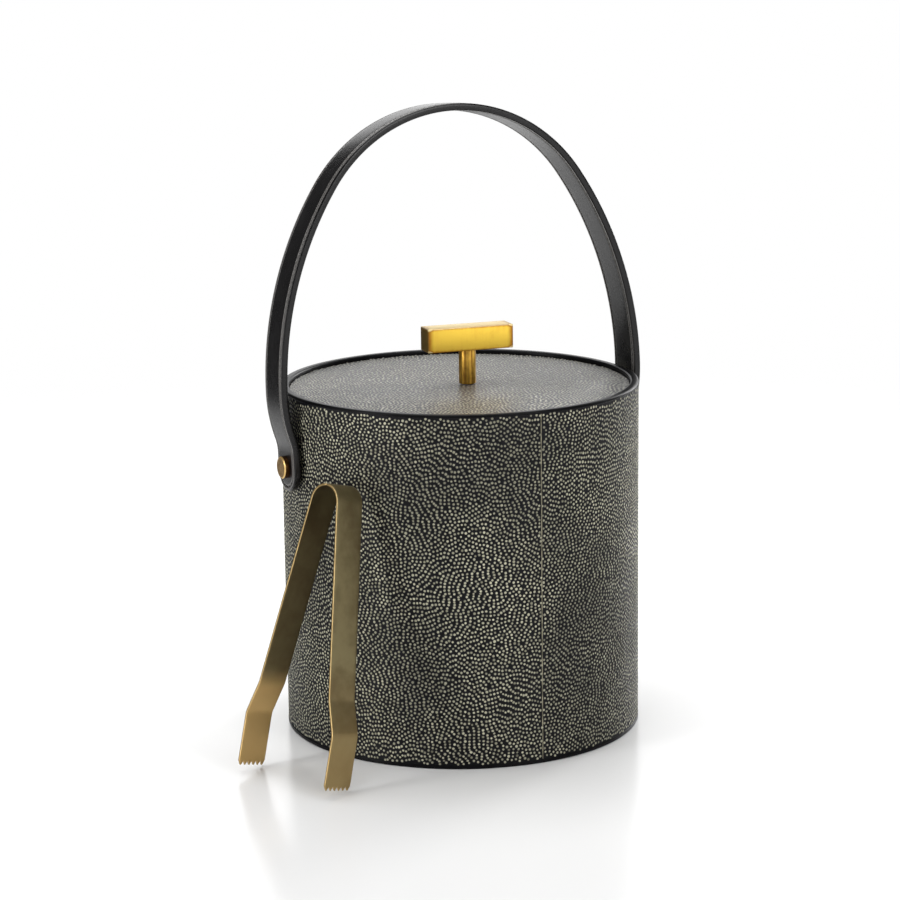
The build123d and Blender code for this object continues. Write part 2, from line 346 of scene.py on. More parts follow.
def makeStudio():
    bpy.ops.mesh.primitive_plane_add(size=studio["floorSize"], location=(0, 0, -0.0001))
    floor = added("floor")
    settle(floor)
    bench = Bench("paleFloor")
    grain = bench.noise(bench.place(), 3.0)
    clouded = tuple(0.98 * part for part in studio["floorColour"])
    floorColour = bench.mix(grain, studio["floorColour"], clouded)
    reach = bench.node("ShaderNodeVectorMath", {"operation": "LENGTH"}, {0: bench.place()}, 1)
    solid = 1 - reach.between(*studio["floorFade"])
    dress(floor, bench.finish(Base_Color=floorColour, Roughness=0.2, Specular_IOR_Level=0.5, Alpha=solid))
    for name, place, width, height, power in studio["lamps"]:
        bpy.ops.object.light_add(type="AREA", location=place)
        lamp = added(name)
        lamp.data.shape = "RECTANGLE"
        lamp.data.size = width
        lamp.data.size_y = height
        lamp.data.energy = power
        aim = Vector((0, 0, 0.13)) - Vector(place)
        lamp.rotation_euler = aim.to_track_quat("-Z", "Y").to_euler()
    world = bpy.data.worlds.new("paleRoom")
    bpy.context.scene.world = world
    world.use_nodes = True
    nodes = world.node_tree.nodes
    links = world.node_tree.links
    # Below the horizon the room is as pale as the floor, and above it dim; at the back it dims lower down
    heading = nodes.new("ShaderNodeTexCoord")
    heights = nodes.new("ShaderNodeSeparateXYZ")
    room = nodes.new("ShaderNodeMapRange")
    room.inputs["From Min"].default_value = 0.0
    room.inputs["From Max"].default_value = studio["horizonBlur"]
    room.inputs["To Min"].default_value = studio["lowerRoom"]
    room.inputs["To Max"].default_value = studio["surround"]
    behind = nodes.new("ShaderNodeMath")
    behind.operation = "MAXIMUM"
    behind.inputs[1].default_value = 0.0
    raised = nodes.new("ShaderNodeMath")
    raised.operation = "MULTIPLY_ADD"
    raised.inputs[1].default_value = studio["backDim"]
    links.new(heading.outputs["Generated"], heights.inputs["Vector"])
    links.new(heights.outputs["Y"], behind.inputs[0])
    links.new(behind.outputs["Value"], raised.inputs[0])
    links.new(heights.outputs["Z"], raised.inputs[2])
    links.new(raised.outputs["Value"], room.inputs["Value"])
    seen = nodes.new("ShaderNodeLightPath")
    strength = nodes.new("ShaderNodeMapRange")
    strength.inputs["To Max"].default_value = 1.0
    links.new(room.outputs["Result"], strength.inputs["To Min"])
    links.new(seen.outputs["Is Camera Ray"], strength.inputs["Value"])
    links.new(strength.outputs["Result"], nodes["Background"].inputs["Strength"])
    nodes["Background"].inputs["Color"].default_value = (1, 1, 1, 1)
    bpy.context.scene.view_settings.view_transform = "Standard"


# Materials: each has its tones and finish in a dictionary, and a scale is in cells or waves to the metre

shagreenLook = {
    "hollow": shade(9, 9, 13),
    "dimCrown": shade(104, 101, 82),
    "paleCrown": shade(214, 211, 184),
    "patch": shade(150, 150, 126),
    "lessRubbed": shade(70, 68, 56),
    "ground": shade(7, 7, 11),
    "groundDust": shade(20, 20, 27),
    # A pale grey for painted sheen: the lid's colours are mixed towards it in place of the clear finish's
    # reflection
    "paintedSheen": shade(118, 118, 121),
    "patchScale": 28.0,
    "lessRubbedScale": 13.0,
    "beadRoughness": 0.26,
    "groundRoughness": 0.34,
    "coatRoughness": 0.25,
    "lidPolish": 0.45,    # how much clear finish lies over the lid
    "lidPaintedSheen": 0.28,      # how far a painted grey sheen, standing in for the clear finish's reflection, lightens the hide
}


def makeBeadMaterial(name, polish, paintedSheen):
    # The crowns of the beads are rubbed pale, and in broad patches they were rubbed less; the last argument
    # mixes in a painted grey sheen
    bench = Bench(name)
    look = shagreenLook
    patches = bench.noise(bench.place(), look["patchScale"], 2.0)
    pale = bench.mix(bench.value("tone"), look["dimCrown"], look["paleCrown"])
    pale = bench.mix(patches.between(0.35, 0.75) * 0.6, pale, look["patch"])
    lessRubbed = bench.noise(bench.place(), look["lessRubbedScale"], 2.0).between(0.42, 0.7)
    pale = bench.mix(lessRubbed * 0.45, pale, look["lessRubbed"])
    uneven = bench.noise(bench.place(), 1400.0, 2.0)
    worn = (bench.value("rise") + 0.25 * uneven - 0.125).between(0.66, 0.92)
    colour = bench.mix(worn, look["hollow"], pale)
    # Painted sheen: the colour is greyed towards a pale tone in place of the clear finish's reflection
    colour = bench.mix(paintedSheen, colour, look["paintedSheen"])
    fine = bench.noise(bench.place(), 2600.0, 2.0)
    return bench.finish(Base_Color=colour, Roughness=look["beadRoughness"] + 0.14 * fine,
                        Specular_IOR_Level=0.45, Coat_Weight=polish, Coat_Roughness=look["coatRoughness"],
                        Normal=bench.bump(fine, 0.03 * mm, 0.4))


def makeGroundMaterial(name, polish, paintedSheen):
    bench = Bench(name)
    look = shagreenLook
    dust = bench.noise(bench.place(), 240.0, 4.0)
    pits = bench.cells(bench.place(), 1500.0)
    colour = bench.mix(dust.between(0.5, 0.85), look["ground"], look["groundDust"])
    # Painted sheen: the colour is greyed towards a pale tone in place of the clear finish's reflection
    colour = bench.mix(paintedSheen, colour, look["paintedSheen"])
    return bench.finish(Base_Color=colour, Roughness=look["groundRoughness"] + 0.16 * dust,
                        Specular_IOR_Level=0.18, Coat_Weight=polish, Coat_Roughness=look["coatRoughness"],
                        Normal=bench.bump(pits, 0.03 * mm, 0.4))


strapLook = {
    "low": shade(7, 6, 7),
    "high": shade(17, 16, 17),
    # A pale tone for painted highlights on the lips beside the groove
    "lipHighlight": shade(132, 129, 126),
    # A dark tone for painted shade in the groove
    "groove": shade(4, 4, 4),
    "outerLipBand": (0.55, 0.8, 1.6, 1.85),    # mm from the strap's edge
    "innerLipBand": (2.6, 2.8, 3.0, 3.4),
    "grooveBand": (1.9, 2.15, 2.45, 2.7),
    "roughness": 0.24,
    "shine": 0.34,
    "coat": 0.1,
    "coatRoughness": 0.2,
}


def makeStrapMaterial():
    # Smooth bridle leather: painted shade darkens the groove near each edge, and painted highlights lighten
    # the lips on either side of it
    bench = Bench("strapLeather")
    look = strapLook
    inside = bench.value("inside")
    grain = bench.noise(bench.place(), 1500.0, 3.0)
    cloud = bench.noise(bench.place(), 70.0, 4.0)
    colour = bench.mix(cloud.between(0.4, 0.75), look["low"], look["high"])
    # Painted highlights: the lips on either side of the groove are lightened where light catches them
    lipHighlights = inside.band(*look["outerLipBand"]) + inside.band(*look["innerLipBand"])
    colour = bench.mix(lipHighlights * (0.6 + 0.7 * (grain - 0.5)), colour, look["lipHighlight"])
    # Painted shade: the groove's colour is darkened where shade falls in it
    groove = inside.band(*look["grooveBand"])
    colour = bench.mix(groove, colour, look["groove"])
    rough = look["roughness"] + 0.1 * (cloud - 0.5) + 0.08 * grain + 0.3 * groove
    return bench.finish(Base_Color=colour, Roughness=rough, Specular_IOR_Level=look["shine"],
                        Coat_Weight=look["coat"], Coat_Roughness=look["coatRoughness"],
                        Normal=bench.bump(grain, 0.03 * mm, 0.16))


bindingLook = {
    "low": shade(6, 6, 8),
    "high": shade(15, 15, 17),
    "roughness": 0.3,
    "grainScale": 1500.0,
    "shine": 0.1,
}


def makeBindingMaterial():
    # Black leather with a close grain
    bench = Bench("bindingLeather")
    look = bindingLook
    grain = bench.cells(bench.place(), look["grainScale"])
    creases = bench.cells(bench.place(), look["grainScale"] * 0.45, "DISTANCE_TO_EDGE")
    cloud = bench.noise(bench.place(), 60.0, 4.0)
    colour = bench.mix(cloud.between(0.4, 0.75), look["low"], look["high"])
    pores = bench.noise(bench.place(), 3200.0)
    relief = grain * 0.5 + creases.between(0.0, 0.18) * 0.6 + pores * 0.25
    return bench.finish(Base_Color=colour, Roughness=look["roughness"] + 0.14 * (cloud - 0.5) + 0.08 * grain,
                        Specular_IOR_Level=look["shine"], Normal=bench.bump(relief, 0.05 * mm, 0.4))


edgeTones = {
    "hideLow": shade(92, 88, 72),
    "hideHigh": shade(176, 170, 146),
    # The thread's grey is paler than black thread, a painted highlight for its gloss; the twist bands between
    # the two tones are the thread's own
    "threadLow": shade(46, 45, 44),
    "threadHigh": shade(88, 86, 84),
}


def makeRawEdgeMaterial():
    bench = Bench("rawHideEdge")
    flecks = bench.noise(bench.place((1, 1, 0.25)), 700.0, 4.0)
    colour = bench.mix(flecks.between(0.35, 0.7), edgeTones["hideLow"], edgeTones["hideHigh"])
    return bench.finish(Base_Color=colour, Roughness=0.7 + 0.1 * flecks,
                        Normal=bench.bump(flecks, 0.1 * mm, 0.5))


def makeThreadMaterial():
    bench = Bench("blackThread")
    twist = bench.node("ShaderNodeTexWave", {"wave_type": "BANDS", "bands_direction": "DIAGONAL"}, {
        "Vector": bench.place(), "Scale": 900.0, "Distortion": 1.5})
    # Painted highlight: the thread is grey rather than black, standing in for its gloss
    colour = bench.mix(twist, edgeTones["threadLow"], edgeTones["threadHigh"])
    return bench.finish(Base_Color=colour, Roughness=0.34 + 0.12 * twist,
                        Normal=bench.bump(twist, 0.05 * mm, 0.6))


knobLook = {
    "gold": shade(255, 214, 84),
    "browned": shade(204, 134, 36),
    "endShadow": shade(150, 92, 28),
    # A dark tone for painted shade on the end faces
    "end": shade(112, 84, 44),
    # A pale tone for a painted reflection on the top face
    "top": shade(206, 196, 166),
    "rubbed": shade(255, 236, 170),
    "roughness": 0.30,
    "stemGold": shade(240, 190, 84),
    "stemBrown": shade(150, 104, 38),
    "stemRoughness": 0.24,
}


def makeKnobBrassMaterial(centre, turn, half):
    # Gold brass, brushed along the bar and browned towards the edges of each face
    bench = Bench("knobBrass")
    look = knobLook
    place = bench.stretched(bench.around(centre), (1, 1, 1), -turn)
    along, back, high = bench.parts(place)
    brushed = bench.noise(bench.stretched(place, (0.06, 1, 1)), 2600.0, 3.0)
    wiped = bench.noise(bench.stretched(place, (1, 1, 0.12)), 520.0, 4.0, 0.65)
    cloud = bench.noise(place, 110.0, 4.0, 0.6)
    # How near a point is to the edges of its face: two of the three spans are close to full there
    endSpan = along.maths("ABSOLUTE") / half[0]
    nearEnd = endSpan.between(0.84, 1.0)
    nearFace = (back.maths("ABSOLUTE") / half[1]).between(0.72, 1.0)
    nearTop = (high.maths("ABSOLUTE") / half[2]).between(0.72, 1.0)
    edges = nearEnd * nearFace + nearFace * nearTop + nearTop * nearEnd
    dull = (edges * 0.4 + cloud * 0.55 + wiped * 0.35).between(0.42, 1.0)
    colour = bench.mix(dull, look["gold"], look["browned"])
    endFace = endSpan.between(0.975, 0.985)
    colour = bench.mix(nearEnd * (1 - endFace) * 0.45, colour, look["endShadow"])
    # Painted shade: the end faces of the bar are darkened where they turn from the light
    colour = bench.mix(endFace * 0.75, colour, look["end"])
    # Painted reflection: the top face is paled where it reflects the bright room behind
    topFace = (high / half[2]).between(0.9, 0.96)
    colour = bench.mix(topFace * 0.6, colour, look["top"])
    colour = bench.mix(edges.between(1.25, 1.7) * 0.7, colour, look["rubbed"])
    rough = look["roughness"] + 0.18 * brushed + 0.14 * dull
    return bench.finish(Base_Color=colour, Metallic=1.0 - 0.25 * dull, Roughness=rough,
                        Normal=bench.bump(brushed * 0.6 + wiped * 0.5, 0.06 * mm, 0.35))


def makeStemBrassMaterial(centre):
    # Drawn brass rod, with streaks that run up it
    bench = Bench("stemBrass")
    look = knobLook
    place = bench.around(centre)
    streaks = bench.noise(bench.stretched(place, (1, 1, 0.04)), 900.0, 3.0, 0.6)
    cloud = bench.noise(place, 260.0, 3.0)
    dull = (streaks * 0.8 + cloud * 0.35).between(0.42, 0.78)
    colour = bench.mix(dull, look["stemGold"], look["stemBrown"])
    return bench.finish(Base_Color=colour, Metallic=1.0 - 0.15 * dull,
                        Roughness=look["stemRoughness"] + 0.16 * cloud,
                        Normal=bench.bump(streaks, 0.05 * mm, 0.35))


rivetLook = {
    "faceLow": shade(178, 144, 88),
    "faceHigh": shade(128, 98, 54),
    "ring": shade(96, 70, 36),
    "side": shade(84, 54, 26),
    # A bright tone for the painted highlight round the rim of the face
    "rim": shade(236, 200, 130),
    "ringTurns": 7600.0,    # radians a metre
    "roughness": 0.34,
}


def makeRivetBrassMaterial(centre, face, radius):
    # Antique brass rivet: a tan face with fine rings, a painted highlight round its rim and a dark brown side
    bench = Bench("rivetBrass")
    look = rivetLook
    place = bench.around(centre)
    out = bench.parts(place)[0].maths("ABSOLUTE")
    across = bench.stretched(place, (0, 1, 1))
    reach = bench.node("ShaderNodeVectorMath", {"operation": "LENGTH"}, {0: across}, 1)
    rings = (reach * look["ringTurns"]).maths("SINE") * 0.5 + 0.5
    cloud = bench.noise(place, 520.0, 4.0, 0.6)
    onFace = out.between(face - 0.75 * mm, face - 0.4 * mm)
    # Painted highlight: a bright ring round the edge of the face, where light catches it
    rimHighlight = onFace * reach.between(radius - 0.9 * mm, radius - 0.4 * mm)
    colour = bench.mix(cloud.between(0.3, 0.75), look["faceLow"], look["faceHigh"])
    colour = bench.mix(rings * 0.3, colour, look["ring"])
    colour = bench.mix(1 - onFace, colour, look["side"])
    colour = bench.mix(rimHighlight * 0.8, colour, look["rim"])
    return bench.finish(Base_Color=colour, Metallic=0.9, Roughness=look["roughness"] + 0.14 * cloud,
                        Normal=bench.bump(rings * 0.4 + cloud * 0.3, 0.04 * mm, 0.35))


tongsLook = {
    "olive": shade(146, 134, 98),
    "darkOlive": shade(120, 106, 76),
    # A paler tone for a painted reflection of the pale floor on the lower arms
    "tipReflection": shade(172, 144, 94),
    # A dark tone for painted shade on the inner faces, and below it a pale tone for a painted highlight on
    # them from the jog to the tips
    "innerFaceShade": shade(84, 70, 46),
    "innerTipHighlight": shade(214, 180, 120),
    "rubbed": shade(176, 148, 100),
    "roughness": 0.36,
}


def makeTongsBrassMaterial():
    # Olive bronze satin strip, rubbed bright along its cut edges
    bench = Bench("tongsBronze")
    look = tongsLook
    along = bench.value("along")
    inner = bench.value("inner")
    cloud = bench.noise(bench.place(), 55.0, 4.0, 0.55)
    brushed = bench.noise(bench.place((1, 1, 0.05)), 2400.0, 3.0)
    colour = bench.mix(cloud.between(0.35, 0.7), look["olive"], look["darkOlive"])
    # Painted reflection: the arms grow paler towards the tips, where they face the pale floor
    colour = bench.mix(along.between(0.55, 1.0) * 0.6, colour, look["tipReflection"])
    # Painted shade darkens the inner faces, which face each other, down to the jog; from the jog to the tips
    # a painted highlight lightens them
    colour = bench.mix(inner * (1 - along.between(0.6, 0.74)) * 0.55, colour, look["innerFaceShade"])
    colour = bench.mix(along.between(0.66, 0.74) * inner, colour, look["innerTipHighlight"])
    rubbed = (bench.value("edge") + 0.3 * (brushed - 0.5)).between(0.35, 0.8)
    colour = bench.mix(rubbed * 0.7, colour, look["rubbed"])
    rough = look["roughness"] + 0.14 * cloud - 0.1 * rubbed
    return bench.finish(Base_Color=colour, Metallic=0.95, Roughness=rough,
                        Normal=bench.bump(brushed * 0.5 + cloud * 0.3, 0.04 * mm, 0.35))


def makePlainMaterial(name, first, second, scale, metallic, roughness, relief, stretch=(1, 1, 1)):
    # Pieces that are mostly out of sight: two tones, a grain and its relief
    bench = Bench(name)
    place = bench.place(stretch)
    grain = bench.noise(place, scale, 5.0, 0.6)
    specks = bench.cells(place, scale * 1.7)
    colour = bench.mix((grain + 0.3 * specks).between(0.4, 0.85), shade(*first), shade(*second))
    return bench.finish(Base_Color=colour, Metallic=metallic, Roughness=roughness + 0.15 * (grain - 0.5),
                        Normal=bench.bump(grain + 0.4 * specks, relief, 0.5))


makeCamera()
makeStudio()
beadMaterial = makeBeadMaterial("shagreenBeads", 0.0, 0.0)
lidBeadMaterial = makeBeadMaterial("polishedBeads", shagreenLook["lidPolish"], shagreenLook["lidPaintedSheen"])
groundMaterial = makeGroundMaterial("shagreenGround", 0.0, 0.0)
lidGroundMaterial = makeGroundMaterial("polishedGround", shagreenLook["lidPolish"], shagreenLook["lidPaintedSheen"])
bindingLeather = makeBindingMaterial()
strapLeather = makeStrapMaterial()
rawEdge = makeRawEdgeMaterial()
thread = makeThreadMaterial()
print("studio and materials made")


# Shagreen: one bead is modelled, then laid over each panel in bent rows

shagreen = {
    "pitch": 2.08 * mm,
    "beadRadius": 0.95 * mm,
    "rise": 0.38 * mm,
    "lidRiseShare": 0.55,
    "sunk": 0.06 * mm,
    "shoulder": 0.78,
    "shoulderRise": 0.66,
    "crown": 0.52,
    "sizeScatter": 0.09,
    "sizeLimit": 0.3,
    "riseSpread": (0.82, 1.0),
    "ovalSpread": (0.88, 1.06),
    "toneShape": (2.6, 2.0),      # how the beads' tones lie between dim and pale
    "shoulderWear": 0.42,
    "placeScatter": 0.34,
    "settleRounds": 14,
    "settleStep": 0.35,
    "margin": 16 * mm,            # laid past the panel's edges, then cut back
    "groundDepth": 0.44 * mm,
    "edgeRoom": 0.35 * mm,
    "bends": [(110, 6.0), (62, 2.6), (37, 1.1)],    # wavelength and sway of the rows, mm
    "sheet": 0.5 * mm,
    "lidEdge": 0.35 * mm,
    "washerRoom": 0.6 * mm,
    "stemRoom": 0.5 * mm,
}


def makeBead():
    # A low six-sided bead of unit radius and unit rise, with a worn flat crown
    bpy.ops.mesh.primitive_circle_add(vertices=6, radius=1, fill_type="NGON", location=(0, 0, 0))
    bead = added("beadPattern")
    bpy.ops.object.mode_set(mode="EDIT")
    steps = [(shagreen["shoulderRise"], shagreen["shoulder"]),
             (1 - shagreen["shoulderRise"], shagreen["crown"] / shagreen["shoulder"])]
    bpy.ops.mesh.select_all(action="SELECT")
    for lift, narrow in steps:
        bpy.ops.mesh.extrude_region_move(TRANSFORM_OT_translate={"value": (0, 0, lift)})
        bpy.ops.transform.resize(value=(narrow, narrow, 1))
    bpy.ops.object.mode_set(mode="OBJECT")
    facesOut(bead)
    pick(bead)
    bpy.ops.object.mode_set(mode="EDIT")
    bpy.ops.mesh.select_all(action="SELECT")
    bpy.ops.mesh.quads_convert_to_tris()
    bpy.ops.object.mode_set(mode="OBJECT")
    return bead


def beadPlaces(width, height, seed):
    # Places for beads on a flat panel: a hexagonal lattice, scattered, settled and swayed by a few long waves
    chance = np.random.default_rng(seed)
    pitch = shagreen["pitch"]
    rowPitch = pitch * 0.866
    margin = shagreen["margin"]
    rows = int((height + 2 * margin) / rowPitch) + 1
    columns = int((width + 2 * margin) / pitch) + 1
    row, column = np.meshgrid(np.arange(rows), np.arange(columns), indexing="ij")
    lattice = np.stack([(column + 0.5 * (row % 2)) * pitch - margin, row * rowPitch - margin], 2)
    lattice += chance.normal(0, shagreen["placeScatter"] * pitch, lattice.shape)
    # Beads that crowd each other push apart, which leaves a close but uneven packing
    steps = [(down, over) for down in range(-2, 3) for over in range(-2, 3) if (down, over) != (0, 0)]
    for _ in range(shagreen["settleRounds"]):
        push = np.zeros_like(lattice)
        for down, over in steps:
            apart = lattice - np.roll(lattice, (down, over), (0, 1))
            gap = np.maximum(np.linalg.norm(apart, axis=2, keepdims=True), 0.01 * pitch)
            push += np.clip(1 - gap / pitch, 0, 1) / gap * apart
        lattice += shagreen["settleStep"] * pitch * push
    swayed = lattice.reshape(-1, 2)
    # Each wave slides the beads sideways to its own heading, so that they stay evenly spread
    for wavelength, sway in shagreen["bends"]:
        for _ in range(2):
            heading = chance.uniform(0, math.tau)
            phase = chance.uniform(0, math.tau)
            ahead = np.array([math.cos(heading), math.sin(heading)])
            aside = np.array([-math.sin(heading), math.cos(heading)])
            slide = sway * mm * np.sin(swayed @ ahead * math.tau / (wavelength * mm) + phase)
            swayed += slide[:, None] * aside
    room = shagreen["edgeRoom"]
    keep = ((swayed[:, 0] > room) & (swayed[:, 0] < width - room)
            & (swayed[:, 1] > room) & (swayed[:, 1] < height - room))
    return swayed[keep]


def layBeads(name, bead, centres, outwards, firstSides, seed, body, material, riseShare=1.0):
    # Copies the bead to each centre, its crown pointing outward, and joins the copies in one mesh
    chance = np.random.default_rng(seed)
    count = len(centres)
    shape = coordinates(bead)
    limit = shagreen["sizeLimit"]
    size = shagreen["beadRadius"] * (1 + chance.normal(0, shagreen["sizeScatter"], count).clip(-limit, limit))
    rise = riseShare * shagreen["rise"] * chance.uniform(*shagreen["riseSpread"], count)
    turn = chance.uniform(0, math.tau, count)
    secondSides = np.cross(outwards, firstSides)
    across = (firstSides * np.cos(turn)[:, None] + secondSides * np.sin(turn)[:, None]) * size[:, None]
    along = (-firstSides * np.sin(turn)[:, None] + secondSides * np.cos(turn)[:, None]) * size[:, None]
    along *= chance.uniform(*shagreen["ovalSpread"], count)[:, None]
    lift = outwards * (rise + shagreen["sunk"])[:, None]
    base = centres - outwards * shagreen["sunk"]
    points = (base[:, None, :] + shape[None, :, 0:1] * across[:, None, :]
              + shape[None, :, 1:2] * along[:, None, :] + shape[None, :, 2:3] * lift[:, None, :])
    corners = np.array([tuple(face.vertices) for face in bead.data.polygons])
    step = np.arange(count)[:, None, None] * len(shape)
    faces = (corners[None] + step).reshape(-1, 3)
    piece = fromPoints(name, points.reshape(-1, 3).tolist(), faces.tolist())
    heights = shape[:, 2]
    worn = np.where(heights > 0.9, 1.0, np.where(heights > 0.3, shagreen["shoulderWear"], 0.0))
    paintValue(piece, "rise", np.tile(worn, count))
    tone = chance.beta(*shagreen["toneShape"], count)
    paintValue(piece, "tone", np.repeat(tone, len(shape)))
    smooth(piece, 80)
    return finished(piece, body, material, "shagreen")


def makeSidePanel(side, bead):
    # Half of the side wrap: a thin black ground, and the beads on it in three pieces
    groundRadius = drumRadius - shagreen["groundDepth"]
    height = wrapHigh.z - wrapLow.z
    label = "Right" if side > 0 else "Left"
    bpy.ops.mesh.primitive_cylinder_add(
        vertices=256, radius=groundRadius, depth=height, end_fill_type="NOTHING",
        location=(0, 0, (wrapLow.z + wrapHigh.z) / 2))
    ground = added("wrapGround" + label)
    settle(ground)
    bpy.ops.object.mode_set(mode="EDIT")
    bpy.ops.mesh.select_all(action="SELECT")
    seamX = side * abs(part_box("side_wrap_right")[0].x)
    bpy.ops.mesh.bisect(plane_co=(seamX, 0, 0), plane_no=(side, 0, 0), clear_inner=True)
    bpy.ops.object.mode_set(mode="OBJECT")
    sheet = ground.modifiers.new("Sheet", "SOLIDIFY")
    sheet.thickness = shagreen["sheet"]
    sheet.offset = -1
    applyModifiers(ground)
    smooth(ground)
    finished(ground, "bucket", groundMaterial, "shagreen", "side_wrap_" + label.lower())
    width = math.pi * drumRadius
    places = beadPlaces(width, height, 11 + side)
    angle = -math.pi / 2 + side * places[:, 0] / drumRadius
    outwards = np.stack([np.cos(angle), np.sin(angle), np.zeros(len(angle))], 1)
    centres = outwards * groundRadius
    centres[:, 2] = wrapLow.z + places[:, 1]
    sideways = np.stack([-np.sin(angle), np.cos(angle), np.zeros(len(angle))], 1)
    clear = beadsClearOfPivot(centres)
    parts = ("Front", "Side", "Back")
    third = np.minimum(places[:, 0] / width * len(parts), len(parts) - 1).astype(int)
    for number, part in enumerate(parts):
        chosen = (third == number) & clear
        layBeads("beads" + part + label, bead, centres[chosen], outwards[chosen], sideways[chosen],
                 31 + side, "bucket", beadMaterial)


def beadsClearOfPivot(centres):
    # True where a bead doesn't lie under the washer that stands the strap off
    low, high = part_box("friction_washer_right")
    room = (high.z - low.z) / 2 + shagreen["washerRoom"]
    return np.hypot(centres[:, 1], centres[:, 2] - pivotHeight) > room


def makeLidTop(bead):
    # The lid's shagreen: a ground disc with a turned-down edge, and its beads in two pieces
    radius = lidHigh.x
    groundTop = lidHigh.z - shagreen["groundDepth"]
    bpy.ops.mesh.primitive_circle_add(
        vertices=192, radius=radius, fill_type="NGON", location=(0, 0, lidLow.z))
    ground = added("lidGround")
    settle(ground)
    bpy.ops.object.mode_set(mode="EDIT")
    bpy.ops.mesh.select_all(action="SELECT")
    bpy.ops.mesh.extrude_region_move(TRANSFORM_OT_translate={"value": (0, 0, groundTop - lidLow.z)})
    bpy.ops.object.mode_set(mode="OBJECT")
    facesOut(ground)
    bevelPiece(ground, shagreen["lidEdge"], 3)
    smooth(ground)
    finished(ground, "lid", lidGroundMaterial, "shagreen", "lid_top_wrap")
    places = beadPlaces(2 * radius, 2 * radius, 23) - radius
    reach = np.hypot(places[:, 0], places[:, 1])
    stemLow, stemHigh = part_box("knob_stem")
    stem = (stemLow + stemHigh) / 2
    stemRoom = (stemHigh.x - stemLow.x) / 2 + shagreen["stemRoom"]
    clear = np.hypot(places[:, 0] - stem.x, places[:, 1] - stem.y) > stemRoom
    places = places[(reach < radius - shagreen["edgeRoom"]) & clear]
    centres = np.column_stack([places, np.full(len(places), groundTop)])
    outwards = np.tile([0.0, 0.0, 1.0], (len(places), 1))
    sideways = np.tile([1.0, 0.0, 0.0], (len(places), 1))
    for part, chosen in (("Front", places[:, 1] < 0), ("Back", places[:, 1] >= 0)):
        layBeads("lidBeads" + part, bead, centres[chosen], outwards[chosen], sideways[chosen], 47, "lid",
                 lidBeadMaterial, shagreen["lidRiseShare"])


seamShape = {
    "width": 0.42 * mm,
    "depth": 0.6 * mm,
    "sunk": 0.42 * mm,
    "waver": 0.09 * mm,
    "waverTurns": (410, 173),    # radians a metre, the quick waver and the slow one
    "edge": 0.08 * mm,
}


def makeSeams():
    # The pale raw edge of the hide, which shows as a thin line where the panels meet
    quick, slow = seamShape["waverTurns"]
    for label, side in (("Front", -1), ("Back", 1)):
        middle = (wrapLow.z + wrapHigh.z) / 2
        place = (0, side * (drumRadius - seamShape["sunk"]), middle)
        bpy.ops.mesh.primitive_cube_add(size=1, location=place)
        seam = added("seamEdge" + label)
        seam.scale = (seamShape["width"], seamShape["depth"], wrapHigh.z - wrapLow.z)
        settle(seam)
        bpy.ops.object.mode_set(mode="EDIT")
        bpy.ops.mesh.select_all(action="SELECT")
        bpy.ops.mesh.subdivide(number_cuts=12)
        bpy.ops.object.mode_set(mode="OBJECT")
        points = coordinates(seam)
        points[:, 0] += seamShape["waver"] * np.sin(points[:, 2] * quick) * np.cos(points[:, 2] * slow)
        setCoordinates(seam, points)
        bevelPiece(seam, seamShape["edge"], 2)
        smooth(seam)
        finished(seam, "bucket", rawEdge, "shagreen")


beadPattern = makeBead()
makeSidePanel(1, beadPattern)
makeSidePanel(-1, beadPattern)
makeLidTop(beadPattern)
makeSeams()
bpy.data.objects.remove(beadPattern)
print("shagreen laid")


# Bindings: a profile drawn as points (radius, height) and spun round the drum

def spunRing(name, profile):
    bpy.ops.mesh.primitive_plane_add(size=1 * mm, location=(0, 0, 0))
    piece = added(name)
    mesh = piece.data
    mesh.clear_geometry()
    count = len(profile)
    mesh.from_pydata([(x, 0, z) for x, z in profile], [(i, (i + 1) % count) for i in range(count)], [])
    pick(piece)
    bpy.ops.object.mode_set(mode="EDIT")
    bpy.ops.mesh.select_all(action="SELECT")
    bpy.ops.mesh.spin(steps=192, angle=math.tau, center=(0, 0, 0), axis=(0, 0, 1))
    bpy.ops.object.mode_set(mode="OBJECT")
    facesOut(piece)
    return piece


def arcPoints(centreX, centreZ, radius, start, end, count):
    turns = [math.radians(start + (end - start) * i / count) for i in range(count + 1)]
    return [(centreX + radius * math.cos(turn), centreZ + radius * math.sin(turn)) for turn in turns]


bindingWall = 1.0 * mm
rimShape = {"rounding": 1.15 * mm, "skin": 0.8 * mm, "edge": 0.3 * mm, "lidGap": 0.4 * mm}
footShape = {"edge": 0.5 * mm, "upperEdge": 0.3 * mm, "turnUnder": 5.7 * mm, "skin": 0.8 * mm}


def makeRimBinding():
    low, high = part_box("rim_binding")
    outer = high.x
    inner = lidHigh.x + rimShape["lidGap"]
    top = high.z
    rounding = rimShape["rounding"]
    edge = rimShape["edge"]
    legBottom = wrapHigh.z
    tube = inner + rimShape["skin"]
    profile = arcPoints(outer - edge, legBottom + edge, edge, -90, 0, 4)
    profile += arcPoints(outer - rounding, top - rounding, rounding, 0, 90, 12)
    profile += arcPoints(inner + rounding, top - rounding, rounding, 90, 180, 12)
    profile += [(inner, low.z), (tube, low.z), (tube, top - rimShape["skin"]),
                (outer - bindingWall, top - rimShape["skin"]), (outer - bindingWall, legBottom)]
    rim = spunRing("rimBinding", profile)
    smooth(rim, 50)
    finished(rim, "bucket", bindingLeather, "black_leather", "rim_binding")


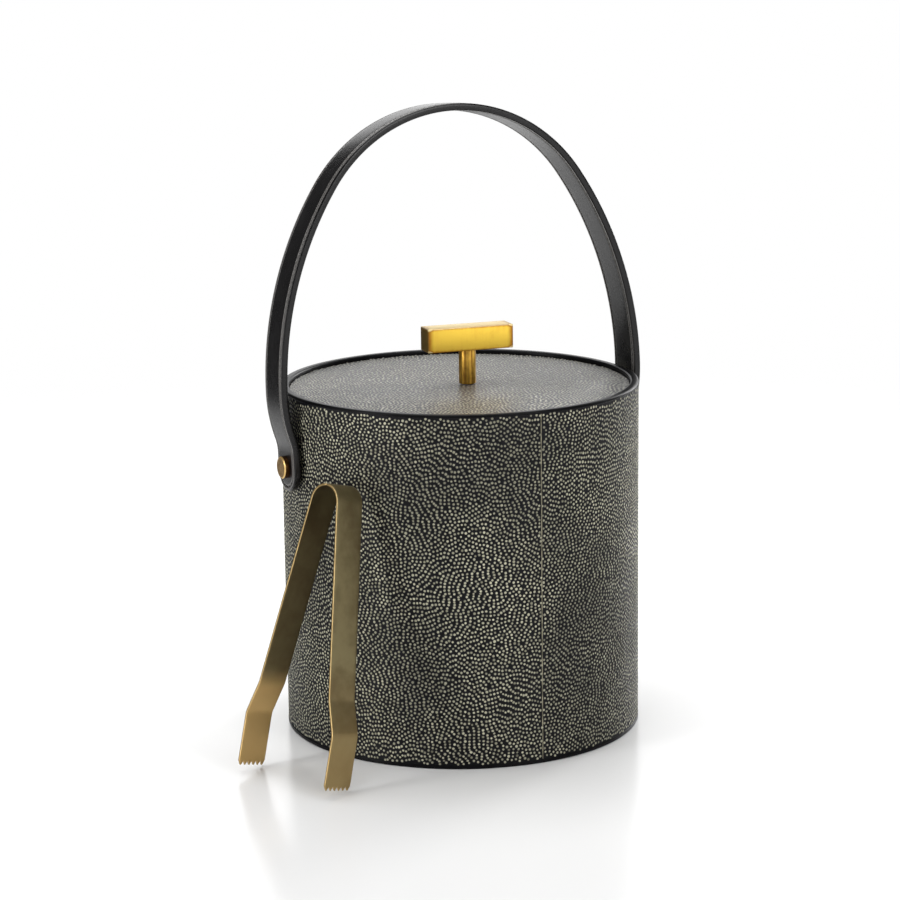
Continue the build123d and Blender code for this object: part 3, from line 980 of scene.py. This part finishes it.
def makeFootBinding():
    low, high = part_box("base_binding")
    outer = high.x
    edge = footShape["edge"]
    inner = outer - footShape["turnUnder"]
    profile = arcPoints(outer - edge, low.z + edge, edge, -90, 0, 6)
    upperEdge = footShape["upperEdge"]
    profile += arcPoints(outer - upperEdge, high.z - upperEdge, upperEdge, 0, 90, 4)
    profile += [(outer - bindingWall, high.z), (outer - bindingWall, footShape["skin"]),
                (inner, footShape["skin"]), (inner, low.z)]
    foot = spunRing("footBinding", profile)
    smooth(foot, 50)
    finished(foot, "bucket", bindingLeather, "black_leather", "base_binding")


makeRimBinding()
makeFootBinding()
print("bindings made")


# Bent strips: a piece made flat, along X from its middle, is laid along straight runs and arcs

def followPath(flat, start, runs):
    # Lays flat points (along, across, outward) on a path drawn in a plane
    # Each run is (length, first heading, last heading); heading 90 goes out along X and heading 0 goes down
    along = np.abs(flat[:, 0])
    outX = np.zeros(len(flat))
    outZ = np.zeros(len(flat))
    corner = np.array(start, float)
    passed = 0.0
    for number, (length, first, last) in enumerate(runs):
        first, last = math.radians(first), math.radians(last)
        curl = (last - first) / length

        def reached(q):
            heading = first + curl * q
            if abs(curl) < 1e-9:
                return corner[0] + math.sin(first) * q, corner[1] - math.cos(first) * q, heading
            return (corner[0] - (np.cos(heading) - math.cos(first)) / curl,
                    corner[1] - (np.sin(heading) - math.sin(first)) / curl, heading)

        here = along >= passed - 1e-9 if number else along > -1
        x, z, heading = reached(along - passed)
        x = x + np.cos(heading) * flat[:, 2]
        z = z + np.sin(heading) * flat[:, 2]
        outX = np.where(here, x, outX)
        outZ = np.where(here, z, outZ)
        endX, endZ, _ = reached(length)
        corner = np.array([endX, endZ], float)
        passed += length
    return outX * np.where(flat[:, 0] < 0, -1, 1), outZ


# Handle strap

strapShape = {
    "width": 21.8 * mm,
    "belowPivot": 12.0 * mm,
    "straight": 6.5 * mm,
    "bulge": 4.7 * mm,
    "bulgeHeight": 36.0 * mm,
    "rise": 171.1 * mm,
    "crownRadius": 81.0 * mm,
    "footBend": 23.0 * mm,
    "lean": 4.1,                  # degrees back
    "edgeRound": 0.85 * mm,
    "crease": 2.3 * mm,
    "creaseDepth": 0.42 * mm,
    "creaseHalf": 0.55 * mm,
    "cushion": 0.16 * mm,
    # From the edge to the middle, mm, closest where the crease is
    "insets": [0.10, 0.20, 0.30, 0.35, 0.80, 0.20, 0.20, 0.15, 0.15, 0.20, 0.20, 0.60, 1.6, 2.6],
    "columns": 340,
    "stitch": 2.35 * mm,
    "stitchPitch": 3.15 * mm,
    "threadWidth": 0.66 * mm,
    "threadSunk": 0.45,           # share of the crease's depth
    "stitchSlant": 5,             # degrees
    "stitchBluntness": 1.25,
    "endShare": 0.06,             # share of the grid's half that goes to the round end
}


def strapRuns():
    # The runs of the strap's right half, from the crown down to the foot
    bulgeX = strapMiddle + strapShape["bulge"]
    crownZ = strapShape["rise"] - strapShape["crownRadius"]
    bendHeight = strapShape["bulgeHeight"] - strapShape["straight"]
    bendRadii = (strapShape["bulge"] ** 2 + bendHeight ** 2) / (2 * strapShape["bulge"])
    bend = math.degrees(math.asin(bendHeight / bendRadii))
    climb = crownZ - strapShape["bulgeHeight"]
    side = 2 * math.degrees(math.atan((bulgeX - strapShape["crownRadius"]) / climb))
    upper = strapShape["crownRadius"] + climb / math.sin(math.radians(side))
    lower = bendRadii - strapShape["footBend"]
    return [
        (strapShape["crownRadius"] * math.radians(90 - side), 90, side),
        (upper * math.radians(side), side, 0),
        (lower * math.radians(bend), 0, -bend),
        (strapShape["footBend"] * math.radians(bend), -bend, 0),
        (strapShape["straight"] + strapShape["belowPivot"], 0, 0),
    ]


strapPath = strapRuns()
strapHalfLength = sum(run[0] for run in strapPath)
strapHalfWidth = strapShape["width"] / 2


def bendStrap(piece):
    flat = coordinates(piece)
    x, z = followPath(flat, (0, pivotHeight + strapShape["rise"]), strapPath)
    lean = math.radians(strapShape["lean"])
    high = z - pivotHeight
    y = flat[:, 1] * math.cos(lean) + high * math.sin(lean)
    z = pivotHeight + high * math.cos(lean) - flat[:, 1] * math.sin(lean)
    setCoordinates(piece, np.column_stack([x, y, z]))


def fromStrapEdge(flat):
    # How far each flat point is inside the strap's outline, which has half-round ends
    endCentre = strapHalfLength - strapHalfWidth
    past = np.maximum(np.abs(flat[:, 0]) - endCentre, 0)
    return strapHalfWidth - np.hypot(past, flat[:, 1])


def strapSurface(inside):
    # Height of the leather's face over the strap's middle plane, by distance from the edge
    roundness = strapShape["edgeRound"]
    short = np.clip(roundness - inside, 0, roundness)
    drop = roundness - np.sqrt(np.maximum(roundness ** 2 - short ** 2, 0))
    fromCrease = np.abs(inside - strapShape["crease"]) / strapShape["creaseHalf"]
    groove = strapShape["creaseDepth"] * np.clip(1 - fromCrease ** 2, 0, 1)
    raised = np.clip((inside - strapShape["crease"]) / (strapHalfWidth - strapShape["crease"]), 0, 1)
    shoulder = 1 - (1 - raised) ** 4
    return strapThickness / 2 - strapShape["cushion"] - drop - groove + strapShape["cushion"] * shoulder


def makeStrapFace(name, side):
    bpy.ops.mesh.primitive_grid_add(x_subdivisions=strapShape["columns"], y_subdivisions=1, size=1)
    face = added(name)
    flat = coordinates(face)
    endCentre = strapHalfLength - strapHalfWidth
    share = np.clip(flat[:, 0] * 2, -1, 1)
    endShare = strapShape["endShare"]
    body = np.clip(np.abs(share) / (1 - endShare), 0, 1) * endCentre
    curl = np.clip((np.abs(share) - (1 - endShare)) / endShare, 0, 1) * math.pi / 2
    flat[:, 0] = np.sign(share) * (body + strapHalfWidth * np.sin(curl))
    flat[:, 1] = np.sign(flat[:, 1]) * strapHalfWidth * np.cos(curl)
    flat[:, 2] = 0
    setCoordinates(face, flat)
    pick(face)
    bpy.ops.object.mode_set(mode="EDIT")
    bpy.ops.mesh.select_all(action="SELECT")
    bpy.ops.mesh.remove_doubles(threshold=0.000002)
    for inset in strapShape["insets"]:
        bpy.ops.mesh.inset(thickness=inset * mm, use_boundary=True, use_even_offset=True)
    bpy.ops.object.mode_set(mode="OBJECT")
    flat = coordinates(face)
    flat[:, 2] = side * strapSurface(fromStrapEdge(flat))
    setCoordinates(face, flat)
    return face


def makeStrap():
    outer = makeStrapFace("strap", 1)
    inner = makeStrapFace("strapInside", -1)
    deselectAll()
    inner.select_set(True)
    outer.select_set(True)
    bpy.context.view_layer.objects.active = outer
    bpy.ops.object.join()
    strap = outer
    bpy.ops.object.mode_set(mode="EDIT")
    bpy.ops.mesh.select_mode(type="EDGE")
    bpy.ops.mesh.select_all(action="DESELECT")
    bpy.ops.mesh.select_non_manifold(extend=False, use_wire=False, use_multi_face=False,
                                     use_non_contiguous=False, use_verts=False)
    bpy.ops.mesh.bridge_edge_loops(number_cuts=2)
    bpy.ops.object.mode_set(mode="OBJECT")
    facesOut(strap)
    inside = fromStrapEdge(coordinates(strap))
    paintValue(strap, "inside", inside / mm)
    bendStrap(strap)
    smooth(strap, 60)
    finished(strap, "handle", strapLeather, "black_leather", "strap_outer", "strap_inner")


def makeStitches():
    # One stitch is modelled, then set along the creases of both faces, and bent with the strap
    bpy.ops.mesh.primitive_uv_sphere_add(segments=6, ring_count=5, radius=0.5, rotation=(0, math.pi / 2, 0))
    stitch = added("stitchPattern")
    settle(stitch)
    threadWidth = strapShape["threadWidth"]
    shape = coordinates(stitch) * np.array([strapShape["stitch"], threadWidth, threadWidth])
    halfStitch = strapShape["stitch"] / 2
    shape[:, 0] = np.clip(shape[:, 0] * strapShape["stitchBluntness"], -halfStitch, halfStitch)
    faces = [tuple(face.vertices) for face in stitch.data.polygons]
    inset = strapHalfWidth - strapShape["crease"]
    straight = strapHalfLength - strapHalfWidth
    pitch = strapShape["stitchPitch"]
    spots = []
    for side in (-1, 1):
        count = int(2 * straight / pitch)
        for number in range(count):
            along = -straight + (number + 0.5) * 2 * straight / count
            spots.append((along, side * inset, 0.0))
        count = int(math.pi * inset / pitch)
        for number in range(count):
            turn = -math.pi / 2 + (number + 0.5) * math.pi / count
            spots.append((side * (straight + inset * math.cos(turn)), inset * math.sin(turn),
                          side * (turn + math.pi / 2)))
    points = []
    polygons = []
    sunk = strapShape["creaseDepth"] * strapShape["threadSunk"]
    level = strapThickness / 2 - strapShape["cushion"] - sunk
    slant = math.radians(strapShape["stitchSlant"])
    for facing in (-1, 1):
        for along, across, turn in spots:
            offset = len(points)
            c, s = math.cos(turn + slant), math.sin(turn + slant)
            for x, y, z in shape:
                points.append((along + c * x - s * y, across + s * x + c * y, facing * level + z))
            polygons += [tuple(corner + offset for corner in face) for face in faces]
    stitches = fromPoints("strapStitches", points, polygons)
    bendStrap(stitches)
    smooth(stitches, 80)
    finished(stitches, "handle", thread, "black_leather")
    bpy.data.objects.remove(stitch)


makeStrap()
makeStitches()
print("strap made")


# Knob

knobShape = {
    "length": 45.0 * mm,
    "section": 12.0 * mm,
    "turn": math.radians(-6.0),
    "edge": 0.5 * mm,
    "stemEdge": 0.35 * mm,
}


def makeKnob():
    low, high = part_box("knob_bar")
    centre = (low + high) / 2
    bpy.ops.mesh.primitive_cube_add(size=1, location=centre, rotation=(0, 0, knobShape["turn"]))
    bar = added("knobBar")
    bar.scale = (knobShape["length"], knobShape["section"], high.z - low.z)
    settle(bar)
    bevelPiece(bar, knobShape["edge"], 4)
    smooth(bar, 25)
    half = (knobShape["length"] / 2, knobShape["section"] / 2, (high.z - low.z) / 2)
    finished(bar, "lid", makeKnobBrassMaterial(centre, knobShape["turn"], half), "antique_brass", "knob_bar")
    low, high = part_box("knob_stem")
    middle = (low + high) / 2
    bpy.ops.mesh.primitive_cylinder_add(
        vertices=64, radius=(high.x - low.x) / 2, depth=high.z - low.z, location=middle)
    stem = added("knobStem")
    settle(stem)
    bevelPiece(stem, knobShape["stemEdge"], 3)
    smooth(stem, 30)
    finished(stem, "lid", makeStemBrassMaterial(middle), "antique_brass", "knob_stem")


makeKnob()
print("knob made")


# Tongs: one strip of bronze, made in two halves that meet at the top of the bow

tongsShape = {
    "width": 17.3 * mm,
    "thickness": 1.0 * mm,
    "length": 142.0 * mm,
    "bow": 9.0 * mm,
    "armAngle": 9.3,    # degrees from upright
    "jogAngle": 19.5,
    "jogStart": 100.0 * mm,
    "jogEnd": 115.8 * mm,
    "bendRadius": 8.0 * mm,
    "teeth": 6,
    "toothDepth": 2.3 * mm,
    "toothRow": 3.4 * mm,
    "edge": 0.18 * mm,
    "rubbedSide": 0.2 * mm,
    "rubbedTip": 1.2 * mm,
    "tipRub": 0.8,
    "rows": 110,
}
squeeze = next(joint for joint in frame["joints"] if joint["name"] == "tongs_front_squeeze")
tongsHub = Vector(squeeze["pos_m"])
tongsThrough = Vector(squeeze["axis"]).normalized()
tongsAcross = Vector((tongsThrough.y, -tongsThrough.x, 0)).normalized()
tongsUp = tongsAcross.cross(tongsThrough)


def tongsRuns():
    arm = math.radians(tongsShape["armAngle"])
    jog = math.radians(tongsShape["jogAngle"])
    middle = tongsShape["bow"] - tongsShape["thickness"] / 2
    armTop = tongsShape["bow"] - middle * math.sin(arm)
    first = tongsShape["bendRadius"] * math.tan((jog - arm) / 2)
    second = tongsShape["bendRadius"] * math.tan(jog / 2)
    return [
        (middle * (math.pi / 2 - arm), 90, tongsShape["armAngle"]),
        ((tongsShape["jogStart"] - armTop) / math.cos(arm) - first,
         tongsShape["armAngle"], tongsShape["armAngle"]),
        (tongsShape["bendRadius"] * (jog - arm), tongsShape["armAngle"], tongsShape["jogAngle"]),
        ((tongsShape["jogEnd"] - tongsShape["jogStart"]) / math.cos(jog) - first - second,
         tongsShape["jogAngle"], tongsShape["jogAngle"]),
        (tongsShape["bendRadius"] * jog, tongsShape["jogAngle"], 0),
        (tongsShape["length"] - tongsShape["jogEnd"] - second, 0, 0),
    ]


def makeTongsHalf(name, side, node):
    runs = tongsRuns()
    total = sum(run[0] for run in runs)
    columns = 2 * tongsShape["teeth"]
    bpy.ops.mesh.primitive_grid_add(x_subdivisions=tongsShape["rows"], y_subdivisions=columns, size=1)
    half = added(name)
    flat = coordinates(half)
    row = np.rint((flat[:, 0] + 0.5) * tongsShape["rows"])
    column = np.rint((flat[:, 1] + 0.5) * columns)
    flat[:, 0] = row / (tongsShape["rows"] - 1) * (total - tongsShape["toothRow"])
    last = row == tongsShape["rows"]
    flat[last, 0] = np.where(column[last] % 2 == 1, total, total - tongsShape["toothDepth"])
    flat[:, 1] *= tongsShape["width"]
    setCoordinates(half, flat)
    sheet = half.modifiers.new("Sheet", "SOLIDIFY")
    sheet.thickness = tongsShape["thickness"]
    sheet.offset = 0
    applyModifiers(half)
    bevelPiece(half, tongsShape["edge"], 2, 50)
    flat = coordinates(half)
    fromSide = tongsShape["width"] / 2 - np.abs(flat[:, 1])
    nearSide = np.clip(1 - fromSide / tongsShape["rubbedSide"], 0, 1)
    teethStart = total - tongsShape["toothDepth"] - tongsShape["rubbedSide"]
    nearTip = np.clip((flat[:, 0] - teethStart) / tongsShape["rubbedTip"], 0, 1) * tongsShape["tipRub"]
    paintValue(half, "edge", np.maximum(nearSide, nearTip))
    paintValue(half, "along", np.clip(flat[:, 0] / total, 0, 1))
    paintValue(half, "inner", (flat[:, 2] < 0).astype(float))
    across, down = followPath(flat, (0, tongsShape["bow"]), runs)
    place = (np.array(tongsHub) + np.outer(across * side, tongsAcross) + np.outer(down, tongsUp)
             + np.outer(flat[:, 1], tongsThrough))
    setCoordinates(half, place)
    facesOut(half)
    smooth(half, 40)
    dress(half, tongsBronze)
    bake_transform(half)
    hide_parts(node, "tongs_bow")


tongsBronze = makeTongsBrassMaterial()
makeTongsHalf("tongsFrontHalf", 1, "tongs_front_arm")
makeTongsHalf("tongsBackHalf", -1, "tongs_back_arm")
print("tongs made")


# Materials for the pieces that are carried over from the frame

plainFinishes = {
    # slot: name, darker tone, paler tone, grain scale, metallic, roughness, relief, and stretch of the grain
    "fibreboard": ("pressedBoard", (92, 66, 44), (134, 102, 72), 420.0, 0, 0.8, 0.2 * mm),
    "felt": ("blackFelt", (14, 14, 15), (38, 38, 40), 1600.0, 0, 0.95, 0.3 * mm),
    "liner_steel": ("spunSteel", (168, 168, 166), (206, 206, 204), 300.0, 1, 0.3, 0.03 * mm, (0.05, 0.05, 1)),
    "foam": ("insulationFoam", (214, 206, 184), (240, 234, 218), 900.0, 0, 0.9, 0.3 * mm),
    "fastener_steel": ("zincPlate", (138, 140, 142), (182, 184, 184), 700.0, 1, 0.4, 0.05 * mm),
    "spring_steel": ("bluedSteel", (44, 46, 52), (76, 80, 92), 500.0, 1, 0.4, 0.04 * mm),
    "nylon": ("blackNylon", (18, 18, 18), (34, 34, 34), 1200.0, 0, 0.5, 0.04 * mm),
    "gasket_rubber": ("gasketRubber", (20, 20, 20), (40, 40, 38), 1100.0, 0, 0.75, 0.08 * mm),
}


def dressCarried():
    materials = {slotName: makePlainMaterial(*finish) for slotName, finish in plainFinishes.items()}
    materials["black_leather"] = bindingLeather
    materials["shagreen"] = groundMaterial
    headLow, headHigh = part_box("pivot_screw_right")
    headRadius = (headHigh.z - headLow.z) / 2
    materials["antique_brass"] = makeRivetBrassMaterial((0, 0, pivotHeight), headHigh.x, headRadius)
    slots = {part["node"]: part["material_slot"] for part in frame["record"]["subparts"]}
    for node, piece in frame["nodes"].items():
        material = materials.get(slots[node])
        if material is None:
            continue
        if piece.material_slots:
            for place in piece.material_slots:
                place.material = material
        else:
            piece.data.materials.append(material)


dressCarried()
print("carried pieces dressed")
